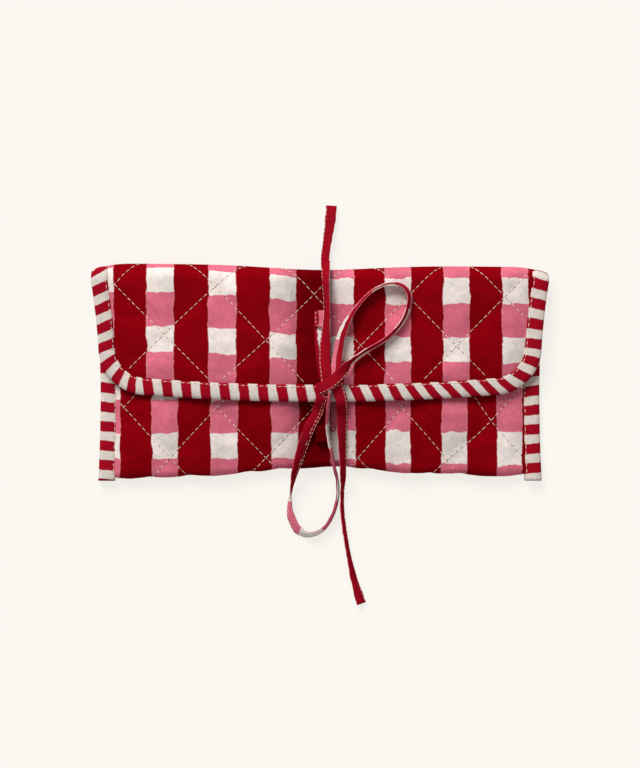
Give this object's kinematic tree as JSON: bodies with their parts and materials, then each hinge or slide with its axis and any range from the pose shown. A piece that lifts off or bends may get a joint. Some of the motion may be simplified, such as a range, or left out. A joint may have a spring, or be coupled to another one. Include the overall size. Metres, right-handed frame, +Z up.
{
  "type": "quilted glasses case",
  "caption": "Soft quilted case for glasses: padded pocket folded from one strip, flap over its mouth, bound edges and a cloth tie knotted in a bow.",
  "frame": {"origin": "middle of the case's box without the tie, on the table under the pocket's back", "axes": "+X along the case, +Y from the bottom fold to the top fold, +Z up off the table, out of the flap"},
  "size_m": [0.1904, 0.167, 0.0214],
  "materials": {
    "print": "printed plain-weave cotton, red stripes between pink and white checks",
    "wadding": "soft off-white wadding",
    "lining": "plain off-white cotton",
    "binding": "crimson and white striped cotton binding",
    "tie": "printed cotton tape, folded and edge-stitched"
  },
  "bodies": {
    "pocket": {"pocket_cover": "print", "pocket_wadding": "wadding", "pocket_lining": "lining", "side_binding_left": "binding", "side_binding_right": "binding", "mouth_binding": "binding", "body_tie_anchor": "tie", "body_tie": "tie", "upper_tail_end": "tie"},
    "spine": {"spine_cover": "print", "spine_wadding": "wadding", "spine_lining": "lining", "spine_binding_left": "binding", "spine_binding_right": "binding", "upper_tail_bend": "tie"},
    "flap": {"flap_cover": "print", "flap_wadding": "wadding", "flap_lining": "lining", "flap_binding": "binding", "flap_tie_anchor": "tie", "flap_tie": "tie", "bow_knot": "tie", "upper_loop": "tie", "upper_tail": "tie"},
    "bow_ends": {"lower_loop": "tie", "lower_tail": "tie"}
  },
  "joints": [
    {"name": "spine_fold", "type": "hinge", "parent": "pocket", "child": "spine", "pos_m": [0, 0.0436, 0.0016], "axis": [-1, 0, 0], "range_deg": [0, 75]},
    {"name": "flap_fold", "type": "hinge", "parent": "spine", "child": "flap", "pos_m": [0, 0.0436, 0.0135], "axis": [-1, 0, 0], "range_deg": [0, 75]},
    {"name": "bow_ends_hang", "type": "hinge", "parent": "flap", "child": "bow_ends", "pos_m": [0, -0.0101, 0.0206], "axis": [-1, 0, 0], "range_deg": [0, 55]}
  ],
  "couplings": [
    {"joint": "flap_fold", "follows": "spine_fold", "ratio": 1},
    {"joint": "bow_ends_hang", "follows": "spine_fold", "ratio": 0.7333}
  ]
}
